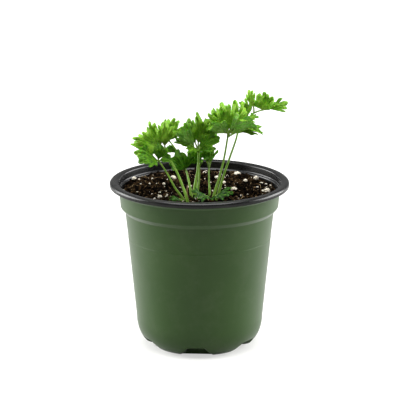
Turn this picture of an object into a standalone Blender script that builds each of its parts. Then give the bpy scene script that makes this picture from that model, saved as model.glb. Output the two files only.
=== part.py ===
"""Curly parsley growing in a round nursery pot.

A thermoformed pot with a turned-down rim, a stacking step, a grip collar, a tapering wall
and six drain recesses holds a plug of potting mix. Petioles stand in sockets in the mix and
carry thin lobed leaflets, and grains of perlite sit half sunk in the surface of the mix.

Units: the design is written in millimetres and turned into metres when meshes are made.
The origin is the centre of the circle the pot stands on, +Z is up and the best side faces -Y.
"""
import math

import bmesh
import bpy
from mathutils import Matrix, Vector

MM = 0.001
GAP = 0.3                     # air kept between neighbouring pieces
MERGE = 0.0001                # weld distance for every modifier and cleanup, in metres

# Pot: driving dimensions
POT_HEIGHT = 107.5
RIM_RADIUS = 57.15
MOUTH_RADIUS = 51.8
WALL = 0.9
LIP_DEPTH = 3.2               # how far the rim is turned down
COLLAR_RADIUS = 50.3          # grip collar, at its lower edge
COLLAR_DEPTH = 16.0           # from the rim's top down to the collar's lower edge
LEDGE_RADIUS = 47.4           # wall just below the collar
LEDGE_DEPTH = 19.3
STEP_DEPTH = 5.0              # stacking step inside the mouth
STEP_WIDTH = 0.95             # how far the step stands out from the collar's line
STEP_DROP = 0.7
RIM_SKIN = 1.2                # thickness of the rim's flat top
CORNER_WIDE = 13.4            # oval round between wall and base
CORNER_TALL = 19.5
FOOT_OUTER = 27.0             # flat ring that the pot stands on
FOOT_INNER = 23.2
FLOOR_RISE = 2.0              # the middle of the base is raised off the ground
POT_SIDES = 60
CORNER_STEPS = 6

# Drain recesses round the foot, and the slot in each one's back wall
DRAINS = 6
FIRST_DRAIN = math.radians(-3.5)
DRAIN_BOTTOM = 10.4           # half widths
DRAIN_TOP = 5.2
DRAIN_HEIGHT = 7.0
DRAIN_BACK = 25.2             # radius of the recess's back wall
SLOT_HALF = 4.0
SLOT_LOW = 3.2
SLOT_HIGH = 5.8
SLOT_CUT = 6.0                # length of the block that cuts a slot
RECESS_START = -1.5           # the block that cuts a recess starts below the ground
RECESS_REACH = 18.0           # and runs out past the wall
RECESS_CHAMFER = 1.2
RECESS_SHOULDER = 0.3

# Potting mix
MIX_LEVEL = 101.0
MIX_HEAP = 1.2                # the surface is a little higher in the middle
MIX_TILT = (-0.014, 0.03)     # and banked up towards the back left
MIX_WALL_DIP = 0.8            # and sinks where it meets the wall
MIX_EDGE_BACK = 0.35          # its top edge stands a little further off the wall
MIX_RINGS = 6
SOCKET_DEPTH = 8.0            # how far a petiole goes into the mix
SOCKET_LEAN = 0.25            # a petiole stands nearly upright inside the mix
SOCKET_ABOVE = 2.5            # a socket's cutter carries on this far above the mix

# Petioles and blades
TUBE_STEP = 5.0
STALK_RADIUS = 0.5
STALK_FOOT = 0.1              # a stalk is this much thicker where it joins its petiole
STALK_START = 0.6             # it starts this far below the petiole's end
STALK_STOP = 1.2 * GAP        # and ends this far short of its leaflet
STALK_BEND = 0.12
BLADE_THICK = 0.5
BLADE_COLUMNS = 12
BLADE_RINGS = (0.4, 0.75, 1.0)
BLADE_FALL = 0.32             # the outer fingers are shorter than the middle one
CLEFT_DEPTH = 0.26            # two clefts part the blade's three lobes
CLEFT_WIDTH = 0.07
TOOTH_DEPTH = 0.12
BLADE_BOW = 0.10              # rise in the middle of the blade's length, per unit of length
BLADE_CUP = 0.22              # rise of its sides
BLADE_RUFFLE = 0.05           # waves along its margin

# Each petiole: (radius at the mix, radius at the top) and the points it passes through,
# starting on the surface of the mix.
PETIOLES = {
    "left_low": ((0.75, 0.55), [(-10, -25, 101.5), (-15.5, -24, 109.5), (-19.9, -22.5, 117.5),
                               (-25.5, -21, 126)]),
    "left_tall": ((0.95, 0.7), [(-7.5, -28, 101.5), (-10.2, -25, 109.5), (-13.8, -22, 118),
                                (-17, -19.5, 123.5), (-21.5, -16, 131)]),
    "left_back": ((0.85, 0.5), [(-5, -20, 101.5), (-6.5, -17, 110.5), (-8.5, -12, 117.5),
                                 (-13, -6, 126), (-17.5, -2, 132), (-19.5, -1, 134)]),
    "middle_tall": ((1.15, 0.7), [(-3, -16, 101.5), (-2.5, -14, 109.5), (-1, -11.5, 118.5),
                                  (-0.5, -9, 129.5)]),
    "middle_low": ((0.8, 0.55), [(-1.4, -11, 101.5), (-0.3, -8.5, 110.5), (0, -6, 119.5)]),
    "middle_right": ((0.7, 0.55), [(6.5, -13, 101.5), (6, -9, 110.5), (6, -6, 118.5)]),
    "right_front": ((0.9, 0.65), [(9, -16, 101.5), (12.6, -13, 113.5), (15.5, -11.5, 125),
                                  (18, -10, 139.5)]),
    "right_tall": ((0.9, 0.5), [(12, -12, 101.5), (15, -9, 112.5), (22.5, -4.5, 133.5),
                                  (25, -2, 141.5), (30, 1, 147), (34.5, 2, 151), (40, 3, 152.8),
                                  (44.5, 3, 153.3)]),
    "crown_right": ((0.8, 0.65), [(10.4, -24.4, 101.5), (10.6, -24.5, 103.8)]),
    "crown_middle": ((0.8, 0.65), [(5.3, -22.5, 101.5), (5.2, -22.9, 103.2)]),
    "crown_left": ((0.7, 0.6), [(-11.3, -30.2, 101.3), (-11.6, -30.8, 103.2)]),
    "withered": ((0.5, 0.35), [(-7.4, -23.6, 101.5), (-7.8, -22.4, 106), (-7.5, -21.6, 110)]),
}

# Each leaflet: petiole, index of the petiole point where its stalk forks off, base, tip,
# the way its upper face looks, and the half angle of its fan in degrees.
LEAFLETS = {
    "left_low_side": ("left_low", -1, (-27, -21.8, 126.6), (-38, -31.5, 128), (-.2, -.75, .65), 54),
    "left_low_top": ("left_low", -1, (-26, -20.8, 127.4), (-24.5, -20.5, 136.5), (.2, -.9, .4), 46),
    "left_low_inner": ("left_low", -1, (-24.2, -21, 126.6), (-17, -23, 127.5), (.1, -.7, .7), 46),
    "left_tall_side": ("left_tall", -1, (-26.5, -14.5, 136), (-42.5, -15, 134), (-.2, -.8, .55), 54),
    "left_tall_top": ("left_tall", -1, (-26, -12.2, 137), (-30.6, -6.5, 145.8), (-.2, -.85, .45), 52),
    "left_tall_inner": ("left_tall", -1, (-22, -13.7, 136.3), (-21.5, -12.5, 148.5), (.1, -.9, .35), 46),
    "left_back_low": ("left_back", 2, (-9, -13.5, 118.5), (-14.5, -16, 130), (-.1, -.9, .4), 62),
    "left_back_side": ("left_back", 3, (-15.8, -3.2, 127.8), (-22, -2, 129.5), (-.1, -.6, .8), 48),
    "left_back_top": ("left_back", -1, (-19.8, -.3, 135), (-15, 5, 146.8), (.1, -.85, .5), 50),
    "left_back_inner": ("left_back", -1, (-18.8, -2.2, 135), (-15.5, -5.5, 143), (.4, -.8, .45), 46),
    "middle_left": ("middle_tall", -1, (-5.5, -12, 134), (-13.5, -13, 143), (-.3, .8, .5), 42),
    "middle_thin": ("middle_tall", -1, (-6, -7, 132.6), (-16, -8.5, 135.7), (-.1, -.6, .8), 28),
    "middle_left_top": ("middle_tall", -1, (-4, -5, 137), (-9, -1.5, 147), (-.2, -.9, .4), 40),
    "middle_top": ("middle_tall", -1, (-.8, -8, 138), (0, -7.5, 152), (.1, -.9, .3), 42),
    "middle_right_top": ("middle_tall", -1, (1, -5.5, 134.5), (9, -1, 146), (.3, -.85, .4), 46),
    "middle_right_low": ("middle_tall", -1, (1, -11.5, 131.8), (11, -14.5, 139), (.3, -.7, .6), 52),
    "middle_front": ("middle_tall", -1, (-2.4, -12.6, 131.8), (-7.2, -18, 130.9), (-.3, -.75, .6), 52),
    "middle_low_left": ("middle_low", -1, (-.8, -6.2, 121), (-6.5, -6.5, 128), (-.3, -.8, .5), 46),
    "middle_low_back": ("middle_low", -1, (-.1, -4.7, 121.3), (-1.5, -.5, 128), (0, -.8, .5), 40),
    "middle_low_right": ("middle_low", -1, (1.2, -7.3, 120.8), (4.5, -12, 124.5), (.4, -.6, .7), 40),
    "slim_left": ("middle_right", -1, (5, -5.8, 122), (2.6, -3.4, 131.5), (-.2, -.9, .4), 34),
    "slim_right": ("middle_right", -1, (7.2, -4.4, 122), (7.6, -.6, 131), (.3, -.9, .4), 34),
    "right_front_side": ("right_front", -1, (16.2, -11.6, 144), (5.5, -18, 147), (-.1, .75, .65), 58),
    "right_front_back": ("right_front", -1, (16.2, -6.8, 145), (6, -2.5, 152), (-.3, -.8, .5), 46),
    "right_front_top": ("right_front", -1, (18, -10, 145.5), (14.8, -9, 160.5), (-.1, -.9, .4), 42),
    "right_front_inner": ("right_front", -1, (20, -6, 145), (24.5, 0, 159.5), (.2, -.9, .4), 40),
    "right_front_low": ("right_front", -1, (21.4, -11.3, 143.9), (36.2, -18, 148.9), (.1, .75, .65), 54),
    "right_front_tip": ("right_front", -1, (31.2, -5.3, 142.2), (39.6, -6.5, 141.2), (.1, -.6, .8), 36),
    "right_tall_tip": ("right_tall", -1, (45.2, 3, 153.8), (56.3, 4, 155.5), (0, -.8, .6), 36),
    "right_tall_top": ("right_tall", 6, (40.2, 4.1, 154), (42.3, 7.9, 161.2), (-.1, -.85, .5), 70),
    "right_tall_small": ("right_tall", 5, (33.8, 4, 157.7), (31.3, 5.5, 165), (-.2, -.9, .3), 32),
    "right_tall_low": ("right_tall", 4, (30.8, -1.7, 147.9), (36.3, -4.5, 150.2), (.1, -.8, .6), 42),
    "right_tall_inner": ("right_tall", 4, (30.3, 3.1, 149.6), (28.6, 8, 158), (-.1, -.9, .4), 44),
    "crown_right_fan": ("crown_right", -1, (11.1, -26, 105), (18.8, -34, 106.4), (.1, -.55, .8), 68),
    "crown_middle_fan": ("crown_middle", -1, (4.4, -24.1, 103.9), (-3.4, -34, 104), (-.1, -.55, .8), 56),
    "crown_left_fan": ("crown_left", -1, (-12.4, -31.9, 104), (-17.6, -36.5, 104.3), (0, -.4, .9), 48),
}

# Grains of perlite: (x, y) on the mix and radius
PERLITE = [((24.5, 37), 2.0), ((36.5, 26), 1.7), ((3, 34), 1.6), ((-16.5, 24), 1.5), ((22, 0), 1.9),
           ((29.5, 20), 1.4), ((-42, 20), 1.5), ((43, -2), 1.8), ((-25, -17), 1.3), ((11, 26), 1.3)]
GRAIN_SHAPE = (1.0, 0.85, 0.75)
GRAIN_LUMPS = 0.10
GRAIN_RISE = 0.15             # share of the radius that its middle stands above the mix

STEM_GREEN = (0.09, 0.21, 0.03)
LEAF_GREEN = (0.07, 0.19, 0.025)
PIECES = {
    "pot": ((0.03, 0.055, 0.015), 0.45),
    "mix": ((0.03, 0.018, 0.01), 0.95),
    "stem": (STEM_GREEN, 0.5),
    "leaf": (LEAF_GREEN, 0.5),
    "dry": ((0.12, 0.06, 0.025), 0.8),
    "perlite": ((0.75, 0.7, 0.6), 0.9),
}


# ---------------------------------------------------------------- scene and materials

def clear_scene():
    """Start from an empty file."""
    for obj in list(bpy.data.objects):
        bpy.data.objects.remove(obj, do_unlink=True)


def make_collection(name):
    """A collection linked to the scene."""
    collection = bpy.data.collections.new(name)
    bpy.context.scene.collection.children.link(collection)
    return collection


def make_material(name, colour, roughness):
    """A plain Principled material of one colour."""
    material = bpy.data.materials.new(name)
    material.use_nodes = True
    shader = material.node_tree.nodes["Principled BSDF"]
    shader.inputs["Base Color"].default_value = (*colour, 1.0)
    shader.inputs["Roughness"].default_value = roughness
    shader.inputs["Metallic"].default_value = 0.0
    return material


def finish_piece(obj, kind, collection):
    """Give a piece its own material and put it with the parts."""
    colour, roughness = PIECES[kind]
    obj.data.materials.clear()
    obj.data.materials.append(make_material(obj.name, colour, roughness))
    collection.objects.link(obj)


def finish_cutter(obj, collection):
    """Keep a cutter out of the model."""
    obj.hide_render = True
    obj.display_type = "WIRE"
    collection.objects.link(obj)


def mesh_object(name, bm):
    """Turn a bmesh in millimetres into an object in metres."""
    bmesh.ops.scale(bm, vec=(MM, MM, MM), verts=bm.verts)
    mesh = bpy.data.meshes.new(name)
    bm.to_mesh(mesh)
    bm.free()
    return bpy.data.objects.new(name, mesh)


def cut_with(obj, cutters):
    """Subtract every object of a collection."""
    boolean = obj.modifiers.new("cut", "BOOLEAN")
    boolean.operation = "DIFFERENCE"
    boolean.operand_type = "COLLECTION"
    boolean.collection = cutters
    boolean.solver = "EXACT"


# ---------------------------------------------------------------- turned shapes

def turned(name, profile):
    """Revolve a profile of (radius, height) points that runs down its outer side."""
    bm = bmesh.new()
    points = [bm.verts.new((radius, 0.0, height)) for radius, height in profile]
    for upper, lower in zip(points, points[1:]):
        bm.edges.new((upper, lower))
    obj = mesh_object(name, bm)
    screw = obj.modifiers.new("turn", "SCREW")
    screw.steps = POT_SIDES
    screw.render_steps = POT_SIDES
    screw.use_merge_vertices = True
    screw.merge_threshold = MERGE
    screw.use_smooth_shade = True
    return obj


def base_corner(inset):
    """Oval round between wall and foot, offset inwards by inset."""
    wide = CORNER_WIDE - inset
    tall = CORNER_TALL - inset
    points = []
    for step in range(CORNER_STEPS + 1):
        angle = math.radians(90.0 * step / CORNER_STEPS)
        points.append((FOOT_OUTER + wide * math.cos(angle), CORNER_TALL - tall * math.sin(angle)))
    return points


def pot_outside():
    """Outer skin of the pot, with the hollow under its turned-down rim."""
    top = POT_HEIGHT
    return [(0, top), (RIM_RADIUS - 0.85, top), (RIM_RADIUS - 0.2, top - 0.35), (RIM_RADIUS, top - 1.0),
            (RIM_RADIUS - 0.15, top - LIP_DEPTH), (RIM_RADIUS - 0.95, top - LIP_DEPTH),
            (RIM_RADIUS - RIM_SKIN, top - RIM_SKIN), (MOUTH_RADIUS + 1.1, top - RIM_SKIN),
            (MOUTH_RADIUS + 0.7, top - STEP_DEPTH + 0.4),
            (COLLAR_RADIUS + STEP_WIDTH, top - STEP_DEPTH - STEP_DROP),
            (COLLAR_RADIUS, top - COLLAR_DEPTH), (LEDGE_RADIUS, top - LEDGE_DEPTH),
            *base_corner(0.0),
            (FOOT_INNER, 0.0), (FOOT_INNER - 1.4, FLOOR_RISE), (0, FLOOR_RISE)]


def pot_inside(gap):
    """Inner skin of the pot below the mouth, moved inwards by gap."""
    inset = WALL + gap
    top = POT_HEIGHT
    return [(COLLAR_RADIUS + STEP_WIDTH - inset, top - STEP_DEPTH - STEP_DROP),
            (COLLAR_RADIUS - inset, top - COLLAR_DEPTH + 0.3),
            (LEDGE_RADIUS - inset, top - LEDGE_DEPTH + 0.3),
            *base_corner(inset),
            (FOOT_INNER + 0.1 + gap, inset), (FOOT_INNER - 1.3 + gap, FLOOR_RISE + inset),
            (0, FLOOR_RISE + inset)]


def cavity_profile():
    """The hollow of the pot, running out through the mouth."""
    mouth = [(0, POT_HEIGHT + 4), (MOUTH_RADIUS, POT_HEIGHT + 4), (MOUTH_RADIUS, POT_HEIGHT),
             (MOUTH_RADIUS - 0.2, POT_HEIGHT - STEP_DEPTH + 0.1)]
    return mouth + pot_inside(0.0)


# ---------------------------------------------------------------- pot

def drain_block(name, angle, grow, inner_radius):
    """Trapezium prism that points outwards at an angle from -Y, grown on every side."""
    low, high = RECESS_START, DRAIN_HEIGHT + grow
    slope = (DRAIN_BOTTOM - DRAIN_TOP) / DRAIN_HEIGHT
    half_low = DRAIN_BOTTOM + grow - slope * low
    half_high = DRAIN_TOP + grow - slope * grow
    shoulder, shoulder_height = half_high + RECESS_SHOULDER, high - RECESS_CHAMFER
    corner = half_high - RECESS_CHAMFER
    outline = [(-half_low, low), (half_low, low), (shoulder, shoulder_height), (corner, high),
               (-corner, high), (-shoulder, shoulder_height)]
    bm = bmesh.new()
    face = bm.faces.new([bm.verts.new((across, -inner_radius, height)) for across, height in outline])
    grown = bmesh.ops.extrude_face_region(bm, geom=[face])
    moved = [item for item in grown["geom"] if isinstance(item, bmesh.types.BMVert)]
    bmesh.ops.translate(bm, vec=(0, -RECESS_REACH, 0), verts=moved)
    bmesh.ops.recalc_face_normals(bm, faces=bm.faces)
    bmesh.ops.rotate(bm, matrix=Matrix.Rotation(angle, 3, "Z"), verts=bm.verts)
    return mesh_object(name, bm)


def slot_block(name, angle):
    """Box that opens the upper half of a recess's back wall."""
    bm = bmesh.new()
    bmesh.ops.create_cube(bm, size=1.0)
    bmesh.ops.scale(bm, vec=(2 * SLOT_HALF, SLOT_CUT, SLOT_HIGH - SLOT_LOW), verts=bm.verts)
    bmesh.ops.translate(bm, vec=(0, -DRAIN_BACK, (SLOT_HIGH + SLOT_LOW) / 2), verts=bm.verts)
    bmesh.ops.rotate(bm, matrix=Matrix.Rotation(angle, 3, "Z"), verts=bm.verts)
    return mesh_object(name, bm)


def drain_angles():
    """Angles of the recesses about +Z, counted from -Y."""
    return [FIRST_DRAIN + index * 2 * math.pi / DRAINS for index in range(DRAINS)]


def make_pot(parts):
    """Outer body, less its recesses and slots, less the hollow that runs round the recesses."""
    housings = make_collection("pot_recess_walls")
    cuts = make_collection("pot_cuts")
    slots = make_collection("pot_slots")
    for index, angle in enumerate(drain_angles()):
        finish_cutter(drain_block(f"recess_wall_{index}", angle, WALL, DRAIN_BACK - WALL), housings)
        finish_cutter(drain_block(f"recess_{index}", angle, 0.0, DRAIN_BACK), cuts)
        finish_cutter(slot_block(f"slot_{index}", angle), slots)
    hollow = turned("pot_hollow", cavity_profile())
    cut_with(hollow, housings)
    hollows = make_collection("pot_hollows")
    finish_cutter(hollow, hollows)
    pot = turned("pot", pot_outside())
    for cutters in (hollows, cuts, slots):
        cut_with(pot, cutters)
    finish_piece(pot, "pot", parts)


# ---------------------------------------------------------------- potting mix

def mix_height(x, y):
    """Height of the surface of the mix: a low heap with soft lumps."""
    fall = (x * x + y * y) / MOUTH_RADIUS ** 2
    lumps = 0.45 * math.sin(0.21 * x + 0.7) * math.cos(0.19 * y - 0.5)
    crumbs = 0.3 * math.sin(0.43 * x - 0.37 * y + 1.9)
    bank = MIX_TILT[0] * x + MIX_TILT[1] * y
    return MIX_LEVEL + MIX_HEAP * (1 - fall) + bank + lumps + crumbs


def make_mix(parts, sockets):
    """Plug of mix that fills the pot, with a lumpy top and a socket for each thing sunk in it."""
    wall = pot_inside(GAP)
    edge_radius, edge_height = wall[0]
    rings = [(edge_radius * ring / MIX_RINGS, edge_height) for ring in range(MIX_RINGS)]
    edge_radius -= MIX_EDGE_BACK
    wall[0] = (edge_radius, MIX_LEVEL - MIX_WALL_DIP)
    plug = turned("mix_plug", rings + wall)
    graph = bpy.context.evaluated_depsgraph_get()
    bpy.context.scene.collection.objects.link(plug)
    graph.update()
    mesh = bpy.data.meshes.new_from_object(plug.evaluated_get(graph))
    bpy.data.objects.remove(plug)
    for vertex in mesh.vertices:
        if vertex.co.z / MM > MIX_LEVEL - 1:
            at_wall = math.hypot(vertex.co.x, vertex.co.y) / MM > edge_radius - 0.1
            height = mix_height(vertex.co.x / MM, vertex.co.y / MM)
            vertex.co.z = (height - MIX_WALL_DIP * at_wall) * MM
    mix = bpy.data.objects.new("potting_mix", mesh)
    housings = make_collection("mix_recess_walls")
    for index, angle in enumerate(drain_angles()):
        block = drain_block(f"mix_recess_{index}", angle, WALL + GAP, DRAIN_BACK - WALL - GAP)
        finish_cutter(block, housings)
    cut_with(mix, housings)
    cut_with(mix, sockets)
    finish_piece(mix, "mix", parts)


# ---------------------------------------------------------------- petioles

def smooth_route(points):
    """Points every few millimetres along a smooth curve through the given ones."""
    points = [Vector(point) for point in points]
    padded = [2 * points[0] - points[1], *points, 2 * points[-1] - points[-2]]
    route = []
    for index in range(1, len(padded) - 2):
        before, start, end, after = padded[index - 1:index + 3]
        count = max(1, round((end - start).length / TUBE_STEP))
        for step in range(count):
            t = step / count
            route.append(0.5 * (2 * start + (end - before) * t
                                + (2 * before - 5 * start + 4 * end - after) * t ** 2
                                + (3 * start - before - 3 * end + after) * t ** 3))
    route.append(points[-1])
    return route


def tube_mesh(name, route, radii, grow=0.0):
    """Closed tube along a route, tapering from the first radius to the second."""
    curve = bpy.data.curves.new(name, "CURVE")
    curve.dimensions = "3D"
    curve.bevel_depth = MM
    curve.bevel_resolution = 2
    curve.use_fill_caps = True
    spline = curve.splines.new("POLY")
    spline.points.add(len(route) - 1)
    for index, (place, node) in enumerate(zip(route, spline.points)):
        share = index / (len(route) - 1)
        node.co = (*(Vector(place) * MM), 1.0)
        node.radius = radii[0] + (radii[1] - radii[0]) * share + grow
    source = bpy.data.objects.new(name, curve)
    bpy.context.scene.collection.objects.link(source)
    graph = bpy.context.evaluated_depsgraph_get()
    mesh = bpy.data.meshes.new_from_object(source.evaluated_get(graph))
    mesh.transform(source.matrix_world)
    bpy.data.objects.remove(source)
    bm = bmesh.new()
    bm.from_mesh(mesh)
    bmesh.ops.remove_doubles(bm, verts=bm.verts, dist=1e-6)
    bm.to_mesh(mesh)
    bm.free()
    mesh.shade_smooth()
    mesh.set_sharp_from_angle(angle=math.radians(50))
    return mesh


def sunk_route(points):
    """The route of a petiole, carried on down into the mix."""
    first, second = Vector(points[0]), Vector(points[1])
    lean = (first - second).normalized() * SOCKET_LEAN
    root = first + Vector((lean.x, lean.y, -1.0)) * SOCKET_DEPTH
    return [root, *smooth_route(points)]


def make_petiole(name, parts, socket_cutters):
    """A petiole with the stalks of its leaflets joined to it, and the cutter for its socket."""
    radii, points = PETIOLES[name]
    route = sunk_route(points)
    node_name = "petiole_" + name
    petiole = bpy.data.objects.new(node_name, tube_mesh(node_name, route, radii))
    stalks = make_collection(node_name + "_stalks")
    for leaflet, (owner, fork, base, tip, _face, _spread) in LEAFLETS.items():
        if owner != name:
            continue
        start, end = Vector(points[fork]), Vector(base)
        if fork == -1:
            start = start + (Vector(points[-2]) - start).normalized() * STALK_START
        lean = (Vector(tip) - end).normalized()
        end = end - lean * STALK_STOP
        middle = start.lerp(end, 0.55) - lean * STALK_BEND * (end - start).length
        thickness = (STALK_RADIUS + STALK_FOOT, STALK_RADIUS)
        stalk = tube_mesh(leaflet, smooth_route([start, middle, end]), thickness)
        finish_cutter(bpy.data.objects.new(leaflet + "_stalk", stalk), stalks)
    if len(stalks.objects):
        join = petiole.modifiers.new("stalks", "BOOLEAN")
        join.operation = "UNION"
        join.operand_type = "COLLECTION"
        join.collection = stalks
        join.solver = "EXACT"
    finish_piece(petiole, "dry" if name == "withered" else "stem", parts)
    above = Vector(points[0]) + (Vector(points[1]) - Vector(points[0])).normalized() * SOCKET_ABOVE
    below = route[0] + (route[0] - route[1]).normalized() * GAP
    socket = tube_mesh(node_name + "_socket", [below, route[0], route[1], above], (radii[0], radii[0]), GAP)
    finish_cutter(bpy.data.objects.new(node_name + "_socket", socket), socket_cutters)


# ---------------------------------------------------------------- leaflets

def blade_reach(u):
    """How far the blade reaches at u, from -1 to 1 across the fan: three lobes with teeth."""
    fall = 1.0 - BLADE_FALL * u * u
    cleft = CLEFT_DEPTH * math.exp(-((abs(u) - 1 / 3) / CLEFT_WIDTH) ** 2)
    teeth = TOOTH_DEPTH * (0.5 + 0.5 * math.cos(9 * math.pi * (u + 1)))
    return fall * (1 - cleft) * (1 - teeth)


def blade_point(u, v, length, spread, phase):
    """Point of a blade in its own frame: y runs from base to tip, z is its upper face."""
    reach = v * blade_reach(u) * length
    angle = u * spread
    across, along = reach * math.sin(angle), reach * math.cos(angle)
    bow = BLADE_BOW * length * 4 * (along / length) * (1 - along / length)
    cup = BLADE_CUP * across * across / length
    ruffle = BLADE_RUFFLE * length * v ** 3 * math.sin(4.5 * math.pi * u + phase)
    return Vector((across, along, bow + cup + ruffle))


def blade_frame(base, tip, face):
    """Rotation and place of a blade."""
    along = (Vector(tip) - Vector(base)).normalized()
    across = along.cross(Vector(face)).normalized()
    up = across.cross(along)
    frame = Matrix((across, along, up)).transposed().to_4x4()
    frame.translation = Vector(base)
    return frame


def make_leaflet(name, index, parts):
    """A thin lobed blade: a fan of quads from its base, given its thickness by Solidify."""
    _owner, _fork, base, tip, face, spread = LEAFLETS[name]
    length = (Vector(tip) - Vector(base)).length
    bm = bmesh.new()
    root = bm.verts.new((0, 0, 0))
    previous = [root] * (BLADE_COLUMNS + 1)
    for v in BLADE_RINGS:
        ring = []
        for column in range(BLADE_COLUMNS + 1):
            u = 2 * column / BLADE_COLUMNS - 1
            ring.append(bm.verts.new(blade_point(u, v, length, math.radians(spread), 1.7 * index)))
        for column in range(BLADE_COLUMNS):
            corners = [previous[column], previous[column + 1], ring[column + 1], ring[column]]
            bm.faces.new(corners if previous[0] is not root else [root, corners[2], corners[3]])
        previous = ring
    bmesh.ops.triangulate(bm, faces=bm.faces)
    bm.normal_update()
    bmesh.ops.transform(bm, matrix=blade_frame(base, tip, face), verts=bm.verts)
    leaflet = mesh_object("leaflet_" + name, bm)
    leaflet.data.shade_smooth()
    solid = leaflet.modifiers.new("thickness", "SOLIDIFY")
    solid.thickness = BLADE_THICK * MM
    solid.offset = 0.0
    solid.use_even_offset = False
    finish_piece(leaflet, "leaf", parts)


# ---------------------------------------------------------------- perlite

def grain_mesh(radius, index):
    """A lumpy grain, wider than it is high."""
    bm = bmesh.new()
    bmesh.ops.create_icosphere(bm, subdivisions=2, radius=radius)
    for vertex in bm.verts:
        way = vertex.co.normalized()
        lump = 1 + GRAIN_LUMPS * math.sin(3.1 * way.x + index) * math.cos(2.3 * way.y - index)
        vertex.co = vertex.co * Vector(GRAIN_SHAPE) * lump
    bmesh.ops.rotate(bm, matrix=Matrix.Rotation(0.9 * index, 3, "Z"), verts=bm.verts)
    return bm


def make_grain(index, parts, sockets):
    """A grain of perlite half sunk in the mix, and the cutter for its hollow."""
    (x, y), radius = PERLITE[index]
    place = (x, y, mix_height(x, y) + GRAIN_RISE * radius)
    grain = grain_mesh(radius, index)
    bmesh.ops.translate(grain, vec=place, verts=grain.verts)
    finish_piece(mesh_object(f"perlite_{index + 1:02d}", grain), "perlite", parts)
    room = grain_mesh(radius + GAP / min(GRAIN_SHAPE), index)
    bmesh.ops.translate(room, vec=place, verts=room.verts)
    finish_cutter(mesh_object(f"perlite_room_{index + 1:02d}", room), sockets)


def main():
    """Build every piece."""
    clear_scene()
    parts = bpy.data.collections.new("potted_parsley")
    sockets = make_collection("mix_sockets")
    for name in PETIOLES:
        make_petiole(name, parts, sockets)
    for index in range(len(PERLITE)):
        make_grain(index, parts, sockets)
    make_mix(parts, sockets)
    for index, name in enumerate(LEAFLETS):
        make_leaflet(name, index, parts)
    make_pot(parts)
    bpy.context.scene.collection.children.link(parts)


main()
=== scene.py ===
# %% [markdown]
# Potted curly parsley. A thin two-colour nursery pot, a bed of peaty potting mix and a young
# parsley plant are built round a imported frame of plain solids. The frame fixes every size and
# place. This script gives each piece its real surface: formed plastic, crumbly mix, ribbed
# stems and ruffled leaves.

# %% Load the frame
import math

import bmesh
import bpy
import numpy as np
from mathutils import Matrix, Vector, noise


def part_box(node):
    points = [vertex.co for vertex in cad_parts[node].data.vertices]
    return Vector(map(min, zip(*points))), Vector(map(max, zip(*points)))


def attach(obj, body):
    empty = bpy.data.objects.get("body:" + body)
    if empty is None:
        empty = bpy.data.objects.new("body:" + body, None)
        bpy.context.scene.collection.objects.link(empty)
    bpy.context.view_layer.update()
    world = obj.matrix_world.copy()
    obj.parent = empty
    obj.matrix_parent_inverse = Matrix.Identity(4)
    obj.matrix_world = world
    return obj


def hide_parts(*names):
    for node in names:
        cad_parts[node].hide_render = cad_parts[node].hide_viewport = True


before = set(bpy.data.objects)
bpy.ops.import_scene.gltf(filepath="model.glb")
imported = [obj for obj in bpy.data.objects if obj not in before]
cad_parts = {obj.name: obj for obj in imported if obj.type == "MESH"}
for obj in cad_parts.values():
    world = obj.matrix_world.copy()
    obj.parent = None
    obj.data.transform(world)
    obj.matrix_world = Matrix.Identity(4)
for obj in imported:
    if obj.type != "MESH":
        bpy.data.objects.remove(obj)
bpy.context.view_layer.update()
MM = 0.001
ROOT = "root"
pot_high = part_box("pot")[1]
RIM_RADIUS = pot_high[0] / MM
POT_HEIGHT = pot_high[2] / MM
print("pot", round(2 * RIM_RADIUS, 1), "mm across and", round(POT_HEIGHT, 1), "mm high")

# %% [markdown]
# The camera comes first, so every later piece can be looked at as it is made. A long lens from
# well back and a little above keeps the pot's sides nearly parallel, as in a catalogue picture.

# %% Camera
CAMERA_BACK = 1.70
CAMERA_HEIGHT = 0.5539
LOOK_AT = Vector((0.0054, 0.0, 0.0894))
LENS_LENGTH, SENSOR_WIDTH = 239.3, 36.0
FARTHEST_SEEN = 20.0


def new_object(name, data):
    """An object with this data, put in the scene."""
    piece = bpy.data.objects.new(name, data)
    bpy.context.scene.collection.objects.link(piece)
    return piece


camera_data = bpy.data.cameras.new("camera")
camera_data.lens = LENS_LENGTH
camera_data.sensor_width = SENSOR_WIDTH
camera_data.clip_end = FARTHEST_SEEN
camera = new_object("camera", camera_data)
camera.location = (0.0, -CAMERA_BACK, CAMERA_HEIGHT)
camera.rotation_euler = (LOOK_AT - camera.location).to_track_quat("-Z", "Y").to_euler()
bpy.context.scene.camera = camera
print("camera looks down", round(math.degrees(math.pi / 2 - camera.rotation_euler.x), 1), "degrees")

# %% [markdown]
# Node trees are easier to read when one call makes a node, sets its options and fills its
# inputs, so a small helper does that for shaders and for Geometry Nodes alike. An input that is
# given a socket is linked, and anything else is set as a value.


# %% Node helpers
def add_node(tree, kind, options=None, **inputs):
    """Make a node; inputs are named by their socket, with _ for a space, or by iN for a number."""
    node = tree.nodes.new(kind)
    for name, value in (options or {}).items():
        setattr(node, name, value)
    for name, value in inputs.items():
        numbered = name[0] == "i" and name[1:].isdigit()
        socket = node.inputs[int(name[1:])] if numbered else node.inputs[name.replace("_", " ")]
        if isinstance(value, bpy.types.NodeSocket):
            tree.links.new(value, socket)
        else:
            socket.default_value = value
    return node


def new_material(name, roughness=0.5, specular=0.5):
    """A Principled material; returns it with its tree and its shader."""
    material = bpy.data.materials.new(name)
    material.use_nodes = True
    shader = material.node_tree.nodes["Principled BSDF"]
    shader.inputs["Roughness"].default_value = roughness
    shader.inputs["Specular IOR Level"].default_value = specular
    return material, material.node_tree, shader


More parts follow.
